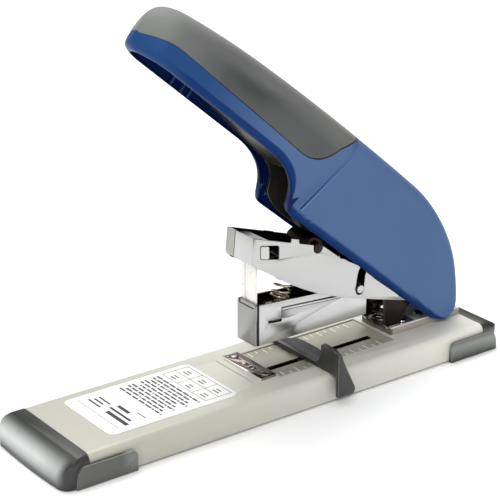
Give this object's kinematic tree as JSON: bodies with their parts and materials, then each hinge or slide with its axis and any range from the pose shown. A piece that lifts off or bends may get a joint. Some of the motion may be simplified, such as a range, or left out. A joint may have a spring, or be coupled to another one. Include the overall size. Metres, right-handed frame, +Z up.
{
  "type": "heavy-duty stapler",
  "caption": "Heavy-duty long-arm stapler: painted base with sliding paper stop, chromed sprung magazine and driver arm, and a long blue handle with a grey grip.",
  "frame": {"origin": "on the table, under the centre of the whole bounding box", "axes": "+X along the base from the stapling end to the hinge end, +Y across the base to the left of that, +Z up"},
  "size_m": [0.3, 0.08, 0.2283],
  "materials": {
    "paint": "satin",
    "cap_plastic": "satin",
    "foot_rubber": "matte",
    "plate_steel": "satin",
    "label_film": "satin",
    "anvil_steel": "bright",
    "chrome": "polished",
    "pin_steel": "bright",
    "dark_steel": "dark, oiled",
    "spring_steel": "bright",
    "stop_plastic": "satin",
    "sheet_steel": "satin",
    "blue_plastic": "satin",
    "grey_grip": "matte",
    "bush_plastic": "matte"
  },
  "bodies": {
    "base": {"base_shell": "paint", "bottom_plate": "plate_steel", "front_cap": "cap_plastic", "rear_cap": "cap_plastic", "foot_1": "foot_rubber", "foot_2": "foot_rubber", "foot_3": "foot_rubber", "foot_4": "foot_rubber", "base_label": "label_film", "anvil_plate": "anvil_steel", "anvil_rivet_near": "anvil_steel", "anvil_rivet_far": "anvil_steel", "base_frame": "chrome", "hinge_bracket": "chrome", "frame_rivet_1": "chrome", "frame_rivet_2": "chrome", "frame_rivet_3": "chrome", "frame_rivet_4": "chrome", "hinge_pin": "pin_steel", "hinge_pin_clip": "dark_steel", "handle_pin": "pin_steel", "magazine_lift_spring": "spring_steel"},
    "paper_stop": {"paper_stop": "stop_plastic", "stop_slider": "stop_plastic"},
    "magazine": {"magazine_channel": "chrome", "magazine_front_plate": "chrome", "magazine_cover": "sheet_steel", "staple_rail": "sheet_steel", "pusher_rod": "pin_steel", "magazine_rear_block": "stop_plastic", "link_pin": "pin_steel", "hinge_spacer": "pin_steel", "arm_return_spring": "spring_steel", "pusher_spring": "spring_steel"},
    "pusher": {"staple_pusher": "stop_plastic"},
    "driver_blade": {"driver_blade": "sheet_steel"},
    "arm": {"driver_arm": "chrome", "driver_block": "sheet_steel", "roller_axle": "dark_steel"},
    "roller": {"press_roller": "dark_steel"},
    "handle": {"handle_shell": "blue_plastic", "handle_grip": "grey_grip", "handle_lever": "dark_steel", "lever_screw_1": "pin_steel", "lever_screw_2": "pin_steel", "handle_bush_near": "bush_plastic", "handle_bush_far": "bush_plastic", "handle_spring": "spring_steel"}
  },
  "joints": [
    {"name": "handle_pivot", "type": "hinge", "parent": "base", "child": "handle", "pos_m": [0.088, 0, 0.072], "axis": [0, -1, 0], "range_deg": [0, 30], "stiffness_Nm_per_rad": 0.8, "springref_deg": -51.57, "deforming": ["handle_spring"]},
    {"name": "arm_hinge", "type": "hinge", "parent": "base", "child": "arm", "pos_m": [0.104, 0, 0.05], "axis": [0, -1, 0], "range_deg": [0, 19.8], "deforming": ["arm_return_spring"]},
    {"name": "magazine_hinge", "type": "hinge", "parent": "base", "child": "magazine", "pos_m": [0.104, 0, 0.05], "axis": [0, -1, 0], "range_deg": [0, 7.1], "deforming": ["magazine_lift_spring"]},
    {"name": "blade_slide", "type": "slide", "parent": "magazine", "child": "driver_blade", "axis": [0, 0, -1], "range_m": [0, 0.0226]},
    {"name": "pusher_slide", "type": "slide", "parent": "magazine", "child": "pusher", "axis": [1, 0, 0], "range_m": [0, 0.038], "stiffness_N_per_m": 60, "springref_m": -0.02, "deforming": ["pusher_spring"]},
    {"name": "paper_stop_slide", "type": "slide", "parent": "base", "child": "paper_stop", "axis": [1, 0, 0], "range_m": [-0.017, 0.045]},
    {"name": "roller_spin", "type": "hinge", "parent": "arm", "child": "roller", "pos_m": [0.0303, 0, 0.0832], "axis": [0, 1, 0], "continuous": true}
  ],
  "couplings": [
    {"joint": "arm_hinge", "follows": "handle_pivot", "ratio": 0.657},
    {"joint": "magazine_hinge", "follows": "handle_pivot", "ratio": 0.23333},
    {"joint": "blade_slide", "follows": "handle_pivot", "m_per_rad": 0.04297}
  ]
}
